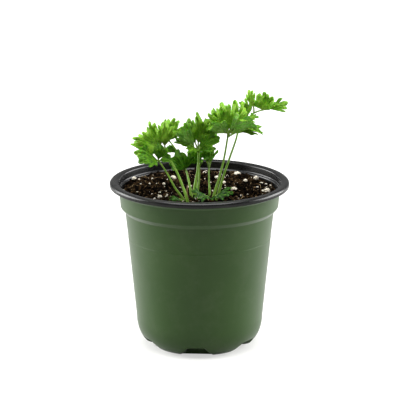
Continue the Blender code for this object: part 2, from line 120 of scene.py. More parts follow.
def mix_colours(tree, share, first, second):
    """Mix two colours; each may be a value or a socket."""
    return add_node(tree, "ShaderNodeMix", {"data_type": "RGBA"}, i0=share, i6=first, i7=second).outputs[2]


def calculate(tree, operation, first, second=0.0, third=0.0, clamp=False):
    """One Math node."""
    return add_node(tree, "ShaderNodeMath", {"operation": operation, "use_clamp": clamp},
                    i0=first, i1=second, i2=third).outputs[0]


def stored(tree, name):
    """The value of this name that is stored on the mesh."""
    return add_node(tree, "ShaderNodeAttribute", {"attribute_name": name}).outputs["Fac"]


def add_bump(tree, shader, strength, distance, height):
    """Give a shader relief from a height socket."""
    bump = add_node(tree, "ShaderNodeBump", Strength=strength, Distance=distance, Height=height)
    tree.links.new(bump.outputs[0], shader.inputs["Normal"])


def rgb(red, green, blue):
    """A colour given as it looks on screen, from 0 to 255, turned into light values."""
    return (*[(part / 255) ** 2.2 for part in (red, green, blue)], 1.0)


# %% [markdown]
# Two effects turn up in several finishes: a soft mottle, which breaks up any even colour, and
# settled dust. Each is a node group with named inputs, so that a finish only states its own
# scale and amount. The groups put out masks, and the shader stays in the material.


# %% Shared shader groups
def make_group(name, sockets_in, sockets_out):
    """An empty shader group with float sockets."""
    group = bpy.data.node_groups.new(name, "ShaderNodeTree")
    for socket, value in sockets_in.items():
        item = group.interface.new_socket(name=socket, in_out="INPUT", socket_type="NodeSocketFloat")
        item.default_value = value
    for socket in sockets_out:
        group.interface.new_socket(name=socket, in_out="OUTPUT", socket_type="NodeSocketFloat")
    return group, group.nodes.new("NodeGroupInput"), group.nodes.new("NodeGroupOutput")


def make_mottle_group():
    """Two sizes of noise on object coordinates: a soft one as Mottle and a fine one as Grain."""
    group, given, result = make_group("mottle", {"Scale": 100.0, "Contrast": 1.0}, ("Mottle", "Grain"))
    place = add_node(group, "ShaderNodeTexCoord").outputs["Object"]
    soft = add_node(group, "ShaderNodeTexNoise", Vector=place, Scale=given.outputs["Scale"], Detail=3.0)
    fine_scale = calculate(group, "MULTIPLY", given.outputs["Scale"], 9.0)
    fine = add_node(group, "ShaderNodeTexNoise", Vector=place, Scale=fine_scale, Detail=2.0)
    centred = calculate(group, "SUBTRACT", soft.outputs["Fac"], 0.5)
    spread = calculate(group, "MULTIPLY_ADD", centred, given.outputs["Contrast"], 0.5, clamp=True)
    group.links.new(spread, result.inputs["Mottle"])
    group.links.new(fine.outputs["Fac"], result.inputs["Grain"])
    return group


def make_dust_group():
    """Dust that settles on faces looking up and clings in patches elsewhere."""
    group, given, result = make_group("dust", {"Scale": 60.0, "Amount": 0.5, "Upward": 0.6}, ("Dust",))
    place = add_node(group, "ShaderNodeTexCoord").outputs["Object"]
    facing = add_node(group, "ShaderNodeNewGeometry").outputs["Normal"]
    up = add_node(group, "ShaderNodeSeparateXYZ", Vector=facing).outputs["Z"]
    patches = add_node(group, "ShaderNodeTexNoise", Vector=place, Scale=given.outputs["Scale"], Detail=5.0,
                       Roughness=0.7).outputs["Fac"]
    level = add_node(group, "ShaderNodeMapRange", Value=patches, From_Min=0.48, From_Max=0.72).outputs[0]
    settled = calculate(group, "MULTIPLY", up, given.outputs["Upward"], clamp=True)
    total = calculate(group, "ADD", level, settled)
    amount = calculate(group, "MULTIPLY", total, given.outputs["Amount"], clamp=True)
    group.links.new(amount, result.inputs["Dust"])
    return group


mottle_group = make_mottle_group()
dust_group = make_dust_group()


def use_group(tree, group, **values):
    """Place a shared group in a material with its own values."""
    return add_node(tree, "ShaderNodeGroup", {"node_tree": group}, **values).outputs


print("shader groups:", mottle_group.name, dust_group.name)

# %% [markdown]
# The real pot is drawn from a two-layer plastic sheet, sage green outside and black inside. The
# black wraps over the rim and down its turned edge. One material does both: a `liner` value
# stored on the mesh says which layer a point belongs to.


# %% Pot plastic
def make_pot_plastic():
    """Satin plastic, green or black by the mesh's liner value, with dust and faint draw lines."""
    material, tree, shader = new_material("pot_plastic", specular=0.33)
    liner = stored(tree, "liner")
    patch = use_group(tree, mottle_group, Scale=28.0, Contrast=1.6)
    green = mix_colours(tree, patch["Mottle"], rgb(42, 69, 22), rgb(50, 77, 29))
    black = mix_colours(tree, patch["Mottle"], rgb(4, 6, 5), rgb(13, 15, 14))
    plastic = mix_colours(tree, liner, green, black)
    dust = use_group(tree, dust_group, Scale=75.0, Amount=0.035, Upward=0.0)["Dust"]
    dusty = mix_colours(tree, dust, plastic, rgb(158, 157, 142))
    tree.links.new(dusty, shader.inputs["Base Color"])
    rough = add_node(tree, "ShaderNodeMapRange", Value=patch["Mottle"], To_Min=0.34, To_Max=0.46)
    rougher = calculate(tree, "MULTIPLY_ADD", dust, 0.3, rough.outputs[0], clamp=True)
    glossier = calculate(tree, "MULTIPLY", rougher, calculate(tree, "MULTIPLY_ADD", liner, -0.35, 1.0))
    tree.links.new(glossier, shader.inputs["Roughness"])
    tree.links.new(calculate(tree, "MULTIPLY_ADD", liner, -0.26, 0.3), shader.inputs["Sheen Weight"])
    shader.inputs["Sheen Roughness"].default_value = 0.4
    tree.links.new(calculate(tree, "MULTIPLY_ADD", liner, 0.04, 0.33), shader.inputs["Specular IOR Level"])
    place = add_node(tree, "ShaderNodeTexCoord").outputs["Object"]
    squashed = add_node(tree, "ShaderNodeMapping", Vector=place, Scale=(0.15, 0.15, 1.0)).outputs[0]
    rings = add_node(tree, "ShaderNodeTexNoise", Vector=squashed, Scale=420.0, Detail=2.0).outputs["Fac"]
    relief = calculate(tree, "MULTIPLY_ADD", patch["Grain"], 0.6, rings)
    add_bump(tree, shader, 0.12, 0.0002, relief)
    return material


pot_plastic = make_pot_plastic()
print("made", pot_plastic.name)

# %% [markdown]
# The pot is one thin skin, so a turned profile gives its shape: the section is drawn once and
# swept round the axis. Sharp corners in the section are rounded first, because a warm sheet
# can't be drawn into a sharp corner. The six drain recesses are pushed into the skin point by
# point, which is how the mould makes them, and only the slots are cut out.

# %% Pot section
MOUTH_RADIUS = 51.8
WALL = 0.9
STEP_DEPTH = 5.0
COLLAR_RADIUS, COLLAR_DEPTH = 50.3, 16.0
LEDGE_RADIUS, LEDGE_DEPTH = 47.4, 19.3
CORNER_WIDE, CORNER_TALL = 13.4, 19.5
FOOT_OUTER, FOOT_INNER = 27.0, 23.2
FLOOR_RISE = 2.0
RIM_THICK, RIM_TURNED = 1.2, 3.2
STACK_LINE = 71.0
POT_SIDES = 360
MIX_LEVEL = 101.0


def soften(points, radius, steps=4):
    """Round each corner of an open outline with a short arc, no longer than its sides allow."""
    outline = [Vector(points[0])]
    for before, corner, after in zip(points, points[1:], points[2:]):
        before, corner, after = Vector(before), Vector(corner), Vector(after)
        reach = min(radius, 0.4 * (before - corner).length, 0.4 * (after - corner).length)
        start = corner + (before - corner).normalized() * reach
        end = corner + (after - corner).normalized() * reach
        for step in range(steps + 1):
            t = step / steps
            outline.append((1 - t) ** 2 * start + 2 * t * (1 - t) * corner + t * t * end)
    return outline + [Vector(points[-1])]


def base_corner(inset, steps=26):
    """The oval round between wall and foot."""
    wide, tall = CORNER_WIDE - inset, CORNER_TALL - inset
    angles = [math.radians(90 * step / steps) for step in range(steps + 1)]
    return [Vector((FOOT_OUTER + wide * math.cos(a), CORNER_TALL - tall * math.sin(a))) for a in angles]


def pot_section():
    """The closed section, from the middle of the floor inside, over the rim, to the middle below."""
    top, inset = POT_HEIGHT, WALL
    step, collar, ledge = top - STEP_DEPTH, top - COLLAR_DEPTH, top - LEDGE_DEPTH
    inner = [(MOUTH_RADIUS + 1.5, top), (MOUTH_RADIUS, top - 0.5), (MOUTH_RADIUS - 0.25, step + 0.1),
             (COLLAR_RADIUS + 0.95 - inset, step - 0.7), (COLLAR_RADIUS - inset, collar + 0.3),
             (LEDGE_RADIUS - inset, ledge + 0.3), base_corner(inset)[0]]
    outer = [(MOUTH_RADIUS + 1.5, top), (RIM_RADIUS - 1.0, top - 0.05), (RIM_RADIUS, top - 1.1),
             (RIM_RADIUS - 0.15, top - RIM_TURNED), (RIM_RADIUS - 0.95, top - RIM_TURNED),
             (RIM_RADIUS - RIM_THICK, top - RIM_THICK), (MOUTH_RADIUS + 1.1, top - RIM_THICK),
             (MOUTH_RADIUS + 0.7, step + 0.4), (COLLAR_RADIUS + 0.95, step - 0.7),
             (COLLAR_RADIUS + 0.1, collar + 1.6), (COLLAR_RADIUS, collar), (LEDGE_RADIUS + 0.25, ledge + 0.5),
             (LEDGE_RADIUS, ledge), (LEDGE_RADIUS - 1.86, STACK_LINE + 0.6),
             (LEDGE_RADIUS - 1.78, STACK_LINE), (LEDGE_RADIUS - 1.9, STACK_LINE - 0.6), base_corner(0.0)[0]]
    under = [(FOOT_INNER, 0.0), (FOOT_INNER - 1.4, FLOOR_RISE), (0.0, FLOOR_RISE)]
    middle, turn = (0.0, FLOOR_RISE + inset), (FOOT_INNER + 0.1, inset)
    floor_inside = [middle, (FOOT_INNER - 1.3, FLOOR_RISE + inset), turn]
    over = [middle, *soften(floor_inside, 0.5)[1:-1], turn,
            *reversed(base_corner(inset)), *reversed(soften(inner, 0.6)[:-1])]
    down = [*soften(outer, 0.6)[1:], *base_corner(0.0)[1:], *soften([base_corner(0.0)[-1], *under], 0.5)[1:]]
    return [Vector(point) for point in over], [Vector(point) for point in down]


inside_line, outside_line = pot_section()
print("section points:", len(inside_line), "inside and", len(outside_line), "outside")

# %% Pot skin
DRAINS = 6
FIRST_DRAIN = math.radians(-3.5)
DRAIN_BOTTOM, DRAIN_TOP, DRAIN_HEIGHT = 10.4, 5.2, 7.0
DRAIN_BACK = 25.2
DRAIN_EDGE, DRAIN_ROUND = 0.55, 1.4
SLOT_HALF, SLOT_LOW, SLOT_HIGH = 4.0, 3.2, 5.8
LIP_DEPTH = 3.6
CUTTER_DEPTH = 6.0
SHARP_ANGLE = math.radians(38)
ON_AXIS = 1e-6


def push_recesses(points, grow):
    """Press the six recesses into skin points (N, 3) given in millimetres."""
    radius = np.hypot(points[:, 0], points[:, 1])
    angle = np.arctan2(points[:, 0], -points[:, 1])
    pitch = 2 * math.pi / DRAINS
    off = (angle - FIRST_DRAIN + pitch / 2) % pitch - pitch / 2
    across, height = radius * np.sin(off), points[:, 2]
    half = DRAIN_BOTTOM + grow + (DRAIN_TOP - DRAIN_BOTTOM) * height / DRAIN_HEIGHT
    past_side = np.maximum(np.abs(across) - half + DRAIN_ROUND, 0)
    past_top = np.maximum(height - DRAIN_HEIGHT - grow + DRAIN_ROUND, 0)
    corner = DRAIN_ROUND - np.hypot(past_side, past_top)
    inside = np.minimum(np.minimum(half - np.abs(across), DRAIN_HEIGHT + grow - height), corner)
    share = np.clip(inside / (2 * DRAIN_EDGE) + 0.5, 0, 1)
    share = share * share * (3 - 2 * share)
    back = (DRAIN_BACK - grow) / np.cos(off)
    moved = radius + share * np.minimum(back - radius, 0)
    scale = np.where(radius > ON_AXIS, moved / np.maximum(radius, ON_AXIS), 1.0)
    return points * np.stack([scale, scale, np.ones_like(scale)], 1)


def mesh_from(name, points, faces):
    """A smooth-shaded object in metres from points in millimetres."""
    mesh = bpy.data.meshes.new(name)
    mesh.from_pydata((np.asarray(points) * MM).tolist(), [], faces)
    mesh.validate()
    mesh.shade_smooth()
    return new_object(name, mesh)


def bands(rings, sides):
    """The faces between each ring of points and the next."""
    for first, second in zip(rings, rings[1:]):
        for side in range(sides):
            after = (side + 1) % sides
            yield first[side], second[side], second[after], first[after]


def store_value(piece, name, values):
    """Store one number for each point of a mesh, for the materials to read."""
    attribute = piece.data.attributes.new(name, "FLOAT", "POINT")
    attribute.data.foreach_set("value", np.asarray(values, dtype=np.float32))


def evaluated_copy(piece):
    """The mesh that a piece's modifiers make, as plain data; the modifiers are then removed."""
    graph = bpy.context.evaluated_depsgraph_get()
    mesh = bpy.data.meshes.new_from_object(piece.evaluated_get(graph), preserve_all_data_layers=True,
                                           depsgraph=graph)
    piece.modifiers.clear()
    piece.data = mesh
    return piece


def make_pot():
    """Sweep the section, press the recesses, store the layer and cut the slots."""
    line = inside_line + outside_line
    turn = np.arange(POT_SIDES) * 2 * math.pi / POT_SIDES
    points, liner, rings = [], [], []
    for index, (radius, height) in enumerate(line):
        lined = 1.0 if index < len(inside_line) or height > POT_HEIGHT - LIP_DEPTH + 0.1 else 0.0
        if radius < ON_AXIS:
            rings.append([len(points)] * POT_SIDES)
            points.append((0.0, 0.0, height))
            liner.append(lined)
            continue
        ring = np.stack([radius * np.sin(turn), -radius * np.cos(turn), np.full(POT_SIDES, height)], 1)
        if height < CORNER_TALL:
            ring = push_recesses(ring, WALL if index < len(inside_line) else 0.0)
        rings.append(list(range(len(points), len(points) + POT_SIDES)))
        points.extend(map(tuple, ring))
        liner.extend([lined] * POT_SIDES)
    faces = [list(dict.fromkeys(corners)) for corners in bands(rings, POT_SIDES)]
    pot = mesh_from("pot_skin", points, faces)
    store_value(pot, "liner", liner)
    bm = bmesh.new()
    for index in range(DRAINS):
        turned = Matrix.Rotation(FIRST_DRAIN + index * 2 * math.pi / DRAINS, 4, "Z")
        place = Matrix.Translation((0, -DRAIN_BACK * MM, (SLOT_LOW + SLOT_HIGH) / 2 * MM))
        size = Matrix.Diagonal((2 * SLOT_HALF * MM, CUTTER_DEPTH * MM, (SLOT_HIGH - SLOT_LOW) * MM, 1))
        bmesh.ops.create_cube(bm, size=1.0, matrix=turned @ place @ size)
    slots = bpy.data.meshes.new("slots")
    bm.to_mesh(slots)
    bm.free()
    cutter = new_object("slots", slots)
    cut = pot.modifiers.new("slots", "BOOLEAN")
    cut.object = cutter
    cut.operation = "DIFFERENCE"
    evaluated_copy(pot)
    bpy.data.objects.remove(cutter)
    pot.data.materials.clear()
    pot.data.materials.append(pot_plastic)
    pot.data.set_sharp_from_angle(angle=SHARP_ANGLE)
    return pot


pot = make_pot()
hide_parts("pot")
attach(pot, ROOT)
print("pot skin:", len(pot.data.polygons), "faces")

# %% [markdown]
# Potting mix is peat and composted bark: nearly black when wet, with brown chips, hairy fibres
# and white perlite. The bed itself is a disc of fine rings, lifted by several sizes of noise. A
# plug closes it: down the wall first, then in to a narrower core, clear of the drain recesses.
# Everything loose is laid on it afterwards.

# %% Finish of the mix
MIX_HEAP = 1.2
MIX_TILT = (-0.014, 0.03)
MIX_RADIUS, LOOSE_RADIUS = 49.7, 48.4
# The plug under the bed, as radius and height: the wall, the turn inwards and the core.
MIX_PLUG = ((49.1, 91.8), (46.2, 88.4), (39.0, 20.0), (37.4, 12.0), (36.2, 9.2), (23.6, 9.0), (23.4, 3.3))


def make_mix_finish(name, dark, light, red):
    """Matt crumbs whose colour follows the piece's own tone value."""
    material, tree, shader = new_material(name, roughness=0.9, specular=0.02)
    tone = stored(tree, "tone")
    patch = use_group(tree, mottle_group, Scale=420.0, Contrast=2.6)
    earth = mix_colours(tree, patch["Mottle"], dark, light)
    share = add_node(tree, "ShaderNodeMapRange", Value=tone, From_Min=0.6, From_Max=1.0).outputs[0]
    tree.links.new(mix_colours(tree, share, earth, red), shader.inputs["Base Color"])
    add_bump(tree, shader, 0.8, 0.0004, patch["Grain"])
    return material


peat = make_mix_finish("peat", rgb(2, 1, 1), rgb(21, 16, 11), rgb(60, 47, 32))
bark = make_mix_finish("bark", rgb(20, 13, 8), rgb(68, 50, 33), rgb(132, 110, 82))
fibre = make_mix_finish("fibre", rgb(44, 32, 21), rgb(98, 78, 54), rgb(156, 136, 104))


def make_perlite_finish():
    """Chalky white with creamy hollows."""
    material, tree, shader = new_material("perlite", roughness=0.85, specular=0.3)
    patch = use_group(tree, mottle_group, Scale=900.0, Contrast=2.2)
    tree.links.new(mix_colours(tree, patch["Mottle"], rgb(196, 183, 156), rgb(246, 241, 230)),
                   shader.inputs["Base Color"])
    add_bump(tree, shader, 0.6, 0.0003, patch["Grain"])
    return material


perlite_white = make_perlite_finish()
print("mix finishes:", peat.name, bark.name, fibre.name, perlite_white.name)


# %% Bed of mix
def mix_height(x, y):
    """Height of the bed in millimetres, as in the frame."""
    fall = (x * x + y * y) / MOUTH_RADIUS ** 2
    lumps = 0.45 * math.sin(0.21 * x + 0.7) * math.cos(0.19 * y - 0.5)
    crumbs = 0.3 * math.sin(0.43 * x - 0.37 * y + 1.9)
    return MIX_LEVEL + MIX_HEAP * (1 - fall) + MIX_TILT[0] * x + MIX_TILT[1] * y + lumps + crumbs


def crumble(x, y):
    """Clods and crumbs on top of the bed's height, in millimetres."""
    clods = noise.fractal(Vector((x * 0.22, y * 0.22, 3.0)), 1.0, 2.1, 3)
    grains = noise.noise(Vector((x * 1.1, y * 1.1, 9.0)))
    fine = noise.noise(Vector((x * 2.6, y * 2.6, 5.0)))
    return 1.1 * clods + 0.5 * abs(grains) + 0.2 * fine - 0.6


def make_bed(name, rings, sides, radius, plug):
    """A disc of rings that follows the bed; with plug, it is closed below."""
    points, layers = [(0.0, 0.0, mix_height(0, 0) + crumble(0, 0))], []
    for ring in range(1, rings + 1):
        reach = radius * ring / rings
        layers.append(range(len(points), len(points) + sides))
        dip = 0.8 * max(0.0, ring / rings - 0.9) * 10
        for side in range(sides):
            turn = 2 * math.pi * side / sides
            x, y = reach * math.sin(turn), -reach * math.cos(turn)
            points.append((x, y, mix_height(x, y) + crumble(x, y) - dip))
    if plug:
        for reach, height in MIX_PLUG:
            layers.append(range(len(points), len(points) + sides))
            ring = np.arange(sides) * 2 * math.pi / sides
            skin = np.stack([reach * np.sin(ring), -reach * np.cos(ring), np.full(sides, height)], 1)
            points.extend(map(tuple, skin))
    faces = [(0, layers[0][side], layers[0][(side + 1) % sides]) for side in range(sides)]
    faces.extend(bands(layers, sides))
    if plug:
        faces.append(tuple(reversed(layers[-1])))
    return mesh_from(name, points, faces)


mix_bed = make_bed("mix_bed", rings=120, sides=300, radius=MIX_RADIUS, plug=True)
store_value(mix_bed, "tone", np.zeros(len(mix_bed.data.vertices)))
mix_bed.data.materials.append(peat)
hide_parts("potting_mix")
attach(mix_bed, ROOT)
print("bed of mix:", len(mix_bed.data.polygons), "faces")

# %% [markdown]
# Thousands of crumbs are best left to Geometry Nodes. One tree scatters lumps on the bed, turns
# and stretches each at random, gives each a tone of its own, and then roughens them all with
# noise, so that no two are alike. The same tree makes crumbs, bark chips and grains of perlite.
# Its inputs say how many, how big and how flat.


# %% Scatter tree
def start_tree(name, sockets):
    """A geometry tree with named inputs: {name: (kind, value)}."""
    tree = bpy.data.node_groups.new(name, "GeometryNodeTree")
    tree.interface.new_socket(name="Geometry", in_out="INPUT", socket_type="NodeSocketGeometry")
    for socket, (kind, value) in sockets.items():
        item = tree.interface.new_socket(name=socket, in_out="INPUT", socket_type="NodeSocket" + kind)
        if value is not None:
            item.default_value = value
    tree.interface.new_socket(name="Geometry", in_out="OUTPUT", socket_type="NodeSocketGeometry")
    return tree, tree.nodes.new("NodeGroupInput").outputs, tree.nodes.new("NodeGroupOutput")


def random_value(tree, low, high, seed, vector=False):
    """A random number, or with vector a random vector, for each point."""
    kind, place = ("FLOAT_VECTOR", 0) if vector else ("FLOAT", 1)
    ends = {f"i{2 * place}": low, f"i{2 * place + 1}": high}
    return add_node(tree, "FunctionNodeRandomValue", {"data_type": kind}, Seed=seed, **ends).outputs[place]


def finish_scatter(tree, given, result, instances, noise_scale):
    """Give each instance a tone, make them real, roughen them and set the material."""
    tone = random_value(tree, 0.0, 1.0, 77)
    toned = add_node(tree, "GeometryNodeStoreNamedAttribute", {"data_type": "FLOAT", "domain": "INSTANCE"},
                     Geometry=instances, Name="tone", Value=tone)
    real = add_node(tree, "GeometryNodeRealizeInstances", Geometry=toned.outputs[0])
    wobble = add_node(tree, "ShaderNodeTexNoise", Scale=noise_scale, Detail=1.0)
    centred = add_node(tree, "ShaderNodeVectorMath", {"operation": "SUBTRACT"},
                       i0=wobble.outputs["Color"], i1=(0.5, 0.5, 0.5))
    offset = add_node(tree, "ShaderNodeVectorMath", {"operation": "SCALE"}, i0=centred.outputs[0],
                      Scale=given["Roughen"])
    rough = add_node(tree, "GeometryNodeSetPosition", Geometry=real.outputs[0], Offset=offset.outputs[0])
    final = add_node(tree, "GeometryNodeSetMaterial", Geometry=rough.outputs[0], Material=given["Material"])
    tree.links.new(final.outputs[0], result.inputs[0])


def make_scatter_tree():
    """Lumps on a surface."""
    tree, given, result = start_tree("scatter_lumps", {
        "Density": ("Float", 1e6), "Seed": ("Int", 1), "Smallest": ("Float", 0.0003),
        "Largest": ("Float", 0.001), "Stretch": ("Vector", (1.3, 1.0, 0.8)), "Tilt": ("Float", 3.1),
        "Rounds": ("Int", 1), "Roughen": ("Float", 0.0003), "Material": ("Material", None)})
    spots = add_node(tree, "GeometryNodeDistributePointsOnFaces", Mesh=given["Geometry"],
                     Density=given["Density"], Seed=given["Seed"])
    lump = add_node(tree, "GeometryNodeMeshIcoSphere", Radius=1.0, Subdivisions=given["Rounds"])
    size = random_value(tree, given["Smallest"], given["Largest"], 11)
    uneven = random_value(tree, (0.7, 0.7, 0.7), (1.25, 1.25, 1.25), 12, vector=True)
    stretched = add_node(tree, "ShaderNodeVectorMath", {"operation": "MULTIPLY"},
                         i0=uneven, i1=given["Stretch"])
    scale = add_node(tree, "ShaderNodeVectorMath", {"operation": "SCALE"},
                     i0=stretched.outputs[0], Scale=size)
    tilt_back = calculate(tree, "MULTIPLY", given["Tilt"], -1.0)
    low = add_node(tree, "ShaderNodeCombineXYZ", X=tilt_back, Y=tilt_back, Z=-3.14)
    high = add_node(tree, "ShaderNodeCombineXYZ", X=given["Tilt"], Y=given["Tilt"], Z=3.14)
    turn = random_value(tree, low.outputs[0], high.outputs[0], 13, vector=True)
    laid = add_node(tree, "GeometryNodeInstanceOnPoints", Points=spots.outputs["Points"],
                    Instance=lump.outputs["Mesh"], Rotation=turn, Scale=scale.outputs[0])
    finish_scatter(tree, given, result, laid.outputs[0], 900.0)
    return tree


def run_tree(name, base, tree, **values):
    """Run a tree on a copy of a base mesh and keep the result as a plain mesh piece."""
    piece = new_object(name, base.data.copy())
    modifier = piece.modifiers.new("make", "NODES")
    modifier.node_group = tree
    for item in tree.interface.items_tree:
        if item.in_out == "INPUT" and item.name in values:
            modifier[item.identifier] = values[item.name]
    evaluated_copy(piece)
    return piece


scatter_tree = make_scatter_tree()
loose_base = make_bed("loose_base", rings=40, sides=120, radius=LOOSE_RADIUS, plug=False)
print("scatter tree inputs:", [item.name for item in scatter_tree.interface.items_tree][:9])

# %% Crumbs, chips and grains
LOOSE = {
    "crumbs_fine": dict(Density=9.5e5, Seed=3, Smallest=0.00025, Largest=0.0007, Stretch=(1.2, 1.0, 0.9),
                        Tilt=3.1, Rounds=1, Roughen=0.0003, Material=peat),
    "crumbs_coarse": dict(Density=1.7e5, Seed=5, Smallest=0.0006, Largest=0.0015, Stretch=(1.3, 1.0, 0.8),
                          Tilt=3.1, Rounds=2, Roughen=0.0011, Material=peat),
    "bark_chips": dict(Density=7.0e4, Seed=8, Smallest=0.0004, Largest=0.001, Stretch=(2.3, 0.9, 0.45),
                       Tilt=0.5, Rounds=1, Roughen=0.0005, Material=bark),
    "perlite_dust": dict(Density=2.2e4, Seed=14, Smallest=0.00025, Largest=0.0011, Stretch=(1.2, 1.0, 0.9),
                         Tilt=3.1, Rounds=2, Roughen=0.0004, Material=perlite_white),
}
for name, values in LOOSE.items():
    loose = run_tree(name, loose_base, scatter_tree, **values)
    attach(loose, ROOT)
    print(name, len(loose.data.polygons), "faces")

# %% [markdown]
# Fibres are short bent threads. A thread is an arc with a small square section, and the
# roughening noise is set wide, so that it bends whole threads and not their sides.


# %% Fibres
def make_fibre_tree():
    """Bent threads lying on a surface."""
    tree, given, result = start_tree("scatter_fibres", {
        "Density": ("Float", 1e5), "Seed": ("Int", 1), "Shortest": ("Float", 0.6), "Longest": ("Float", 1.6),
        "Thickness": ("Float", 0.00011), "Roughen": ("Float", 0.002), "Material": ("Material", None)})
    spots = add_node(tree, "GeometryNodeDistributePointsOnFaces", Mesh=given["Geometry"],
                     Density=given["Density"], Seed=given["Seed"])
    arc = add_node(tree, "GeometryNodeCurveArc", Resolution=9, Radius=0.003, Sweep_Angle=1.5)
    section = add_node(tree, "GeometryNodeCurvePrimitiveCircle", Resolution=4, Radius=given["Thickness"])
    thread = add_node(tree, "GeometryNodeCurveToMesh", Curve=arc.outputs["Curve"],
                      Profile_Curve=section.outputs["Curve"], Fill_Caps=True)
    centred = add_node(tree, "GeometryNodeTransform", Geometry=thread.outputs[0],
                       Translation=(-0.0024, -0.0015, 0))
    turn = random_value(tree, (-0.6, -0.6, -3.14), (0.6, 0.6, 3.14), 21, vector=True)
    size = random_value(tree, given["Shortest"], given["Longest"], 22)
    raised = add_node(tree, "GeometryNodeSetPosition", Geometry=spots.outputs["Points"],
                      Offset=(0, 0, 0.0004))
    laid = add_node(tree, "GeometryNodeInstanceOnPoints", Points=raised.outputs[0],
                    Instance=centred.outputs[0], Rotation=turn, Scale=size)
    finish_scatter(tree, given, result, laid.outputs[0], 260.0)
    return tree


fibres = run_tree("fibres", loose_base, make_fibre_tree(), Density=7.0e4, Seed=4, Shortest=0.4, Longest=1.5,
                  Thickness=0.0001, Roughen=0.004, Material=fibre)
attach(fibres, ROOT)
bpy.data.objects.remove(loose_base)
print("fibres:", len(fibres.data.polygons), "faces")

# %% [markdown]
# Perlite is expanded glass: white, light and lumpy like popcorn. Each large grain stands where
# the frame has one. It is a fine ball whose points move in and out with two sizes of noise.


# %% Large perlite grains
GRAIN_RISE = np.array((0.0, 0.0, 0.25))


def make_grain(name, index):
    """A popcorn-like grain that fills the frame's grain."""
    low, high = (np.array(corner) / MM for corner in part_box(name))
    middle, half = (low + high) / 2, (high - low) / 2
    bm = bmesh.new()
    bmesh.ops.create_icosphere(bm, subdivisions=5, radius=1.0)
    points = []
    for vertex in bm.verts:
        way = vertex.co.normalized()
        lobes = abs(noise.noise(way * 1.5 + Vector((index * 3.1, 0, 0))))
        pits = noise.noise(way * 5.0 + Vector((0, index * 1.7, 0)))
        points.append(np.array(way) * half * (0.82 + 0.7 * lobes + 0.09 * pits) + middle + GRAIN_RISE)
    faces = [[vertex.index for vertex in face.verts] for face in bm.faces]
    bm.free()
    grain = mesh_from(name + "_grain", points, faces)
    grain.data.materials.append(perlite_white)
    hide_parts(name)
    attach(grain, ROOT)
    return grain


grain_nodes = sorted(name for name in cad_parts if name.startswith("perlite"))
for index, name in enumerate(grain_nodes):
    make_grain(name, index)
print("large grains:", len(grain_nodes))

# %% [markdown]
# A parsley petiole is a ribbed, slightly grooved stem, pale at its sheathing base. It is swept
# along the frame's route with a fluted section. The stalks of the leaflets are swept the same
# way, start inside the petiole with a wide foot and are joined to it with a Boolean.

# %% Plant tables
# Petioles: radius at the mix and at the top, then the points passed through, in millimetres.
PETIOLES = {
    "left_low": ((0.75, 0.55), [(-10, -25, 101.5), (-15.5, -24, 109.5), (-19.9, -22.5, 117.5),
                               (-25.5, -21, 126)]),
    "left_tall": ((0.95, 0.7), [(-7.5, -28, 101.5), (-10.2, -25, 109.5), (-13.8, -22, 118),
                                (-17, -19.5, 123.5), (-21.5, -16, 131)]),
    "left_back": ((0.85, 0.5), [(-5, -20, 101.5), (-6.5, -17, 110.5), (-8.5, -12, 117.5),
                                 (-13, -6, 126), (-17.5, -2, 132), (-19.5, -1, 134)]),
    "middle_tall": ((1.15, 0.7), [(-3, -16, 101.5), (-2.5, -14, 109.5), (-1, -11.5, 118.5),
                                  (-0.5, -9, 129.5)]),
    "middle_low": ((0.8, 0.55), [(-1.4, -11, 101.5), (-0.3, -8.5, 110.5), (0, -6, 119.5)]),
    "middle_right": ((0.7, 0.55), [(6.5, -13, 101.5), (6, -9, 110.5), (6, -6, 118.5)]),
    "right_front": ((0.9, 0.65), [(9, -16, 101.5), (12.6, -13, 113.5), (15.5, -11.5, 125),
                                  (18, -10, 139.5)]),
    "right_tall": ((0.9, 0.5), [(12, -12, 101.5), (15, -9, 112.5), (22.5, -4.5, 133.5),
                                  (25, -2, 141.5), (30, 1, 147), (34.5, 2, 151), (40, 3, 152.8),
                                  (44.5, 3, 153.3)]),
    "crown_right": ((0.8, 0.65), [(10.4, -24.4, 101.5), (10.6, -24.5, 103.8)]),
    "crown_middle": ((0.8, 0.65), [(5.3, -22.5, 101.5), (5.2, -22.9, 103.2)]),
    "crown_left": ((0.7, 0.6), [(-11.3, -30.2, 101.3), (-11.6, -30.8, 103.2)]),
    "withered": ((0.5, 0.35), [(-7.4, -23.6, 101.5), (-7.8, -22.4, 106), (-7.5, -21.6, 110)]),
}
